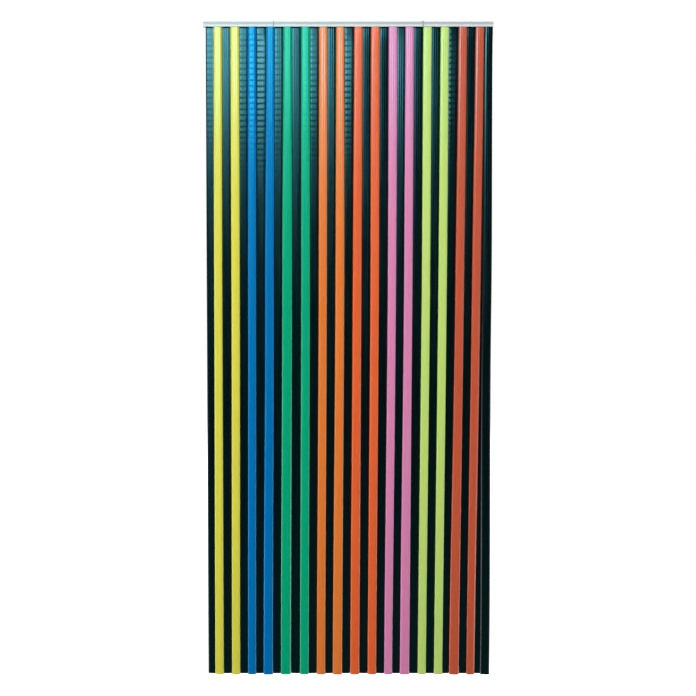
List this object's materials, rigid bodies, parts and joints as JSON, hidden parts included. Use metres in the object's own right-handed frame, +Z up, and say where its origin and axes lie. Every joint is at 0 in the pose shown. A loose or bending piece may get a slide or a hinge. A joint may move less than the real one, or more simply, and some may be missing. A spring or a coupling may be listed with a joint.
{
  "type": "plastic strip curtain with head rail",
  "caption": "Doorway curtain of overlapping glossy plastic strips, black between coloured ones, hanging from a slim aluminium head rail.",
  "frame": {"origin": "middle of the head rail's flat back face", "axes": "+Z up, +Y out of the rail's back towards what it hangs on, so the curtain's front faces -Y, and +X to the right as the front is looked at"},
  "size_m": [0.9156, 0.0173, 2.0761],
  "materials": {
    "anodised_aluminium": "extruded and clear anodised, satin",
    "zinc_plated_steel": "zinc plated, dull",
    "pvc_black": "extruded PVC, glossy with fine ribs",
    "pvc_yellow": "extruded PVC, glossy with fine ribs",
    "pvc_blue": "extruded PVC, glossy with fine ribs",
    "pvc_green": "extruded PVC, glossy with fine ribs",
    "pvc_orange": "extruded PVC, glossy with fine ribs",
    "pvc_vermilion": "extruded PVC, glossy with fine ribs",
    "pvc_pink": "extruded PVC, glossy with fine ribs",
    "pvc_lime": "extruded PVC, glossy with fine ribs",
    "pvc_brick": "extruded PVC, glossy with fine ribs"
  },
  "bodies": {
    "root": {"head_rail": "anodised_aluminium", "fixing_clip_left": "zinc_plated_steel", "fixing_clip_right": "zinc_plated_steel", "strip_front_1_yellow": "pvc_yellow", "strip_front_3_yellow": "pvc_yellow", "strip_front_5_blue": "pvc_blue", "strip_front_7_blue": "pvc_blue", "strip_front_9_green": "pvc_green", "strip_front_11_green": "pvc_green", "strip_front_13_orange": "pvc_orange", "strip_front_15_orange": "pvc_orange", "strip_front_17_vermilion": "pvc_vermilion", "strip_front_19_vermilion": "pvc_vermilion", "strip_front_21_pink": "pvc_pink", "strip_front_23_pink": "pvc_pink", "strip_front_25_lime": "pvc_lime", "strip_front_27_lime": "pvc_lime", "strip_front_29_brick": "pvc_brick", "strip_front_31_brick": "pvc_brick", "strip_front_32_black": "pvc_black", "strip_back_0_black": "pvc_black", "strip_back_2_black": "pvc_black", "strip_back_4_black": "pvc_black", "strip_back_6_black": "pvc_black", "strip_back_8_black": "pvc_black", "strip_back_10_black": "pvc_black", "strip_back_12_black": "pvc_black", "strip_back_14_black": "pvc_black", "strip_back_16_black": "pvc_black", "strip_back_18_black": "pvc_black", "strip_back_20_black": "pvc_black", "strip_back_22_black": "pvc_black", "strip_back_24_black": "pvc_black", "strip_back_26_black": "pvc_black", "strip_back_28_black": "pvc_black", "strip_back_30_black": "pvc_black", "strip_back_32_black": "pvc_black"}
  },
  "joints": []
}
